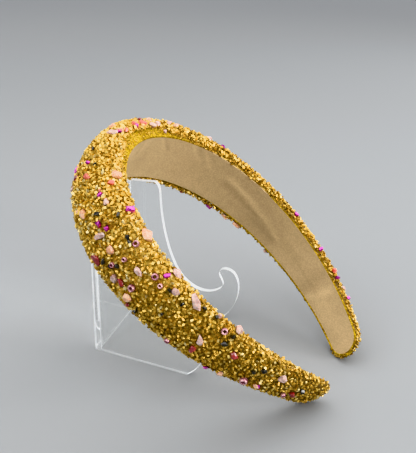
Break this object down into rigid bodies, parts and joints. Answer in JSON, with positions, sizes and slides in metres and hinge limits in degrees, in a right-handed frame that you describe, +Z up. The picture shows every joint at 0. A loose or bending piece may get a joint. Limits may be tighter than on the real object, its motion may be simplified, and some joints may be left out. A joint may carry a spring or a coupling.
{
  "type": "crystal headband on a clear acrylic stand",
  "caption": "Padded headband crusted with gold glass crystals and pink, coral and black accent stones, resting crown up on a clear acrylic hook stand.",
  "frame": {"origin": "middle of the footprint of band and stand, on the surface they stand on", "axes": "+Z up; +X from the stand's back panel towards the tips of the band; the near leg of the band is at -Y"},
  "size_m": [0.1425, 0.1378, 0.1166],
  "materials": {
    "lining_suede": "warm tan microsuede, soft and matte",
    "gold_velvet": "mustard gold velvet with a short nap",
    "gold_crystal": "crushed gold mirror glass, many small bright facets",
    "magenta_stone": "magenta chip with a metallic shine",
    "coral_stone": "polished coral chip",
    "red_stone": "polished red chip",
    "peach_stone": "polished peach chip, cloudy",
    "pale_stone": "polished pale pink chip, cloudy",
    "black_stone": "glossy black chip",
    "pink_bead": "short pink tube bead with a shiny lining",
    "clear_acrylic": "clear polished acrylic sheet"
  },
  "bodies": {
    "root": {"bead_16": "pink_bead", "bead_19": "pink_bead", "bead_21": "pink_bead", "bead_28": "pink_bead", "bead_33": "pink_bead", "crystal_field": "gold_crystal", "lining": "lining_suede", "pad": "gold_velvet", "stand": "clear_acrylic", "stone_01_coral": "coral_stone", "stone_02_peach": "peach_stone", "stone_03_coral": "coral_stone", "stone_04_magenta": "magenta_stone", "stone_05_peach": "peach_stone", "stone_06_pale": "pale_stone", "stone_07_black": "black_stone", "stone_08_magenta": "magenta_stone", "stone_09_magenta": "magenta_stone", "stone_10_pale": "pale_stone", "stone_11_red": "red_stone", "stone_12_peach": "peach_stone", "stone_13_black": "black_stone", "stone_14_peach": "peach_stone", "stone_15_black": "black_stone", "stone_17_pale": "pale_stone", "stone_18_pale": "pale_stone", "stone_20_peach": "peach_stone", "stone_22_magenta": "magenta_stone", "stone_23_pale": "pale_stone", "stone_24_pale": "pale_stone", "stone_25_pale": "pale_stone", "stone_26_pale": "pale_stone", "stone_27_red": "red_stone", "stone_29_black": "black_stone", "stone_30_pale": "pale_stone", "stone_31_red": "red_stone", "stone_32_peach": "peach_stone", "stone_34_black": "black_stone", "stone_35_pale": "pale_stone", "stone_36_red": "red_stone", "stone_37_pale": "pale_stone", "stone_38_coral": "coral_stone", "stone_39_pale": "pale_stone", "stone_40_peach": "peach_stone", "stone_41_magenta": "magenta_stone", "stone_42_pale": "pale_stone", "stone_43_red": "red_stone", "stone_44_black": "black_stone"}
  },
  "joints": []
}
